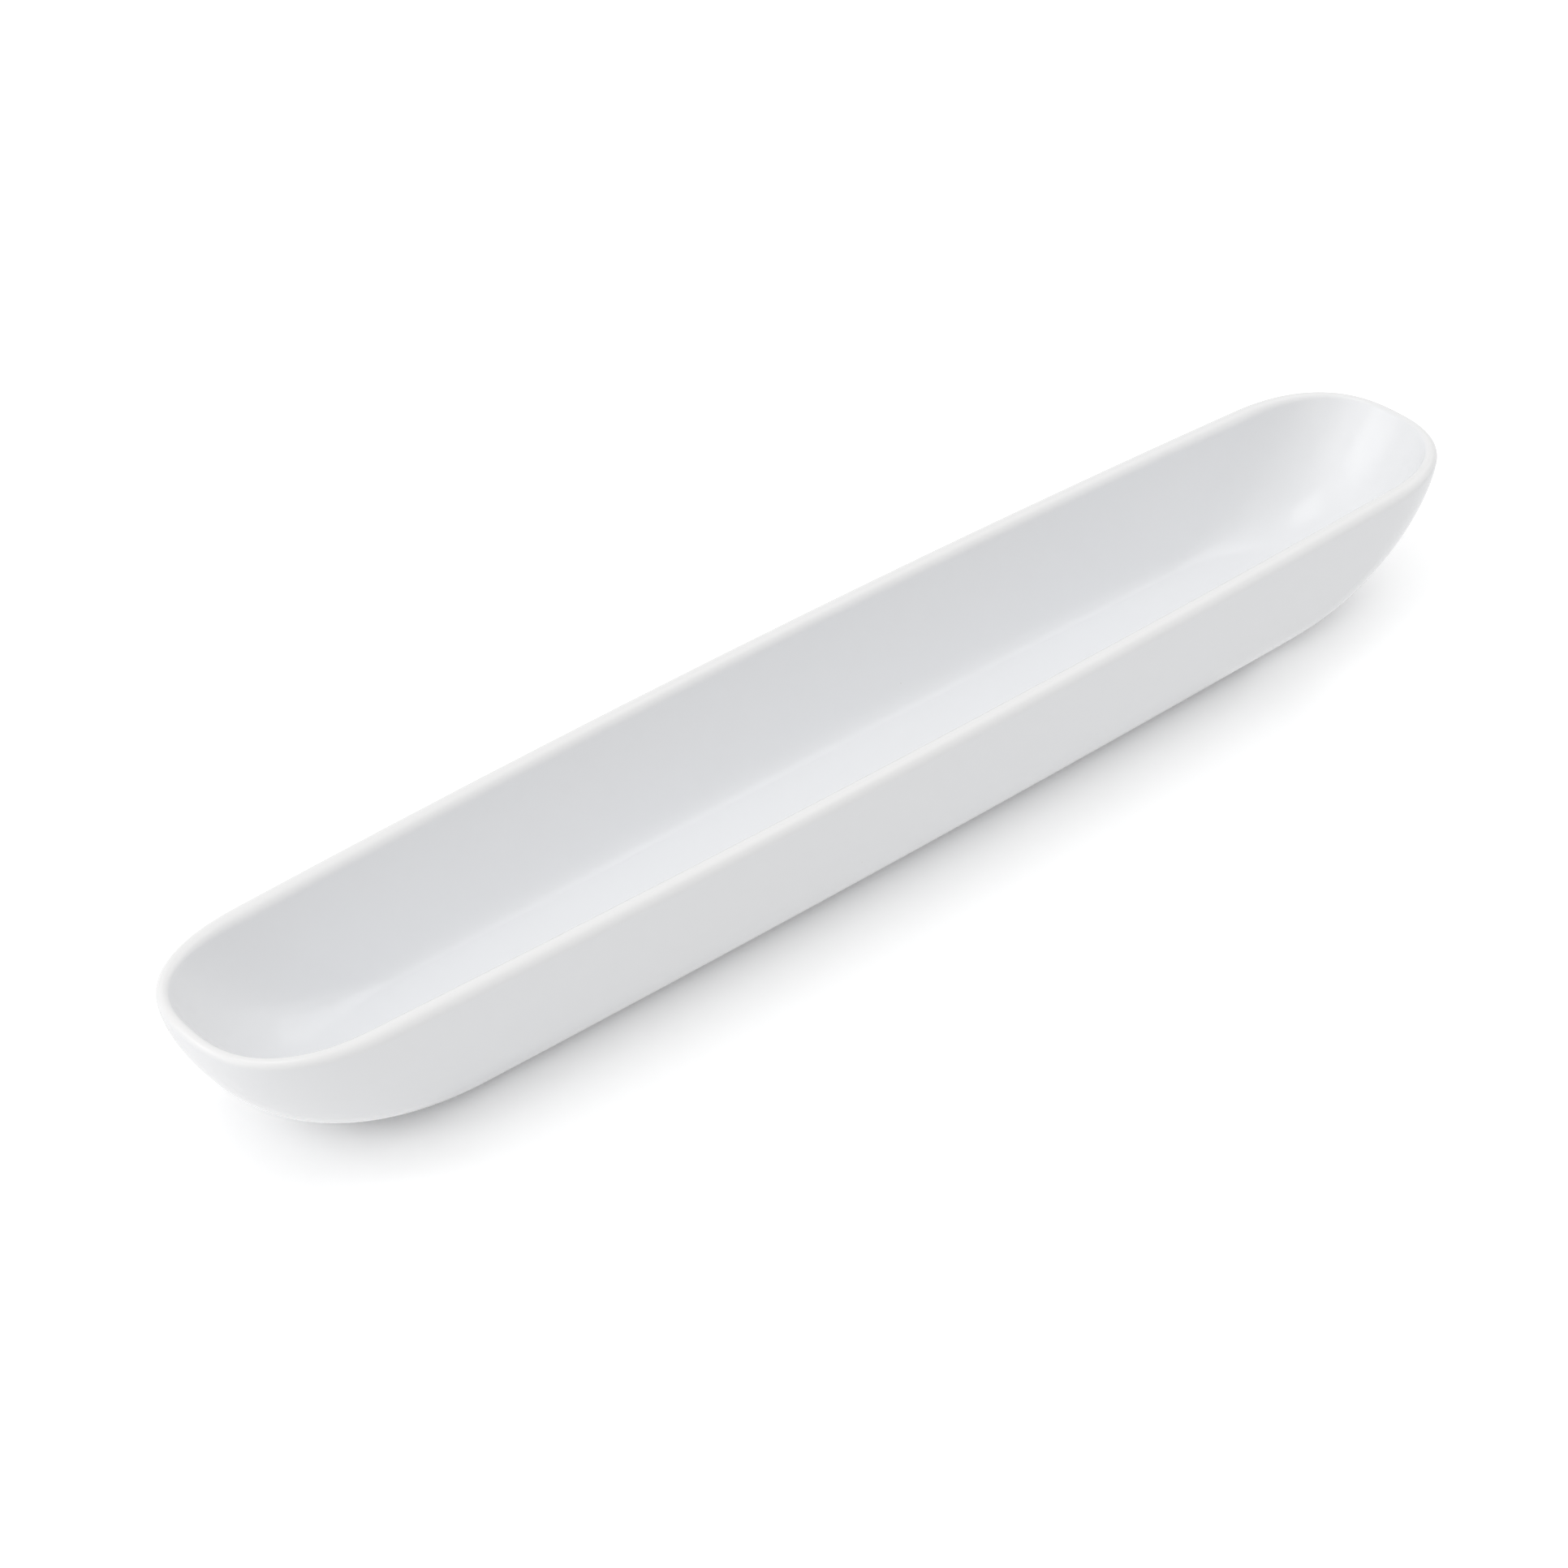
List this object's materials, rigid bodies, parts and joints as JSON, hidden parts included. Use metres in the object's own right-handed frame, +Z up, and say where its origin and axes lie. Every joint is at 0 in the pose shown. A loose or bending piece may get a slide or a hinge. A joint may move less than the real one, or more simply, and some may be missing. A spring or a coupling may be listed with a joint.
{
  "type": "olive dish",
  "caption": "Long narrow boat-shaped serving dish of white glazed porcelain, with a half-round rim, raked ends, a smooth trough-like well and a bare foot ring to stand on.",
  "frame": {"origin": "under the middle of the dish, on the surface that its foot ring stands on", "axes": "+X along the dish, +Y across it, +Z up"},
  "size_m": [0.3, 0.05, 0.03],
  "materials": {
    "bare_porcelain": "unglazed, fired and polished smooth",
    "white_glaze": "gloss white glaze",
    "base_glaze": "gloss white glaze, thin"
  },
  "bodies": {
    "root": {"porcelain_body": "bare_porcelain", "glaze_coat": "white_glaze", "base_glaze": "base_glaze"}
  },
  "joints": []
}
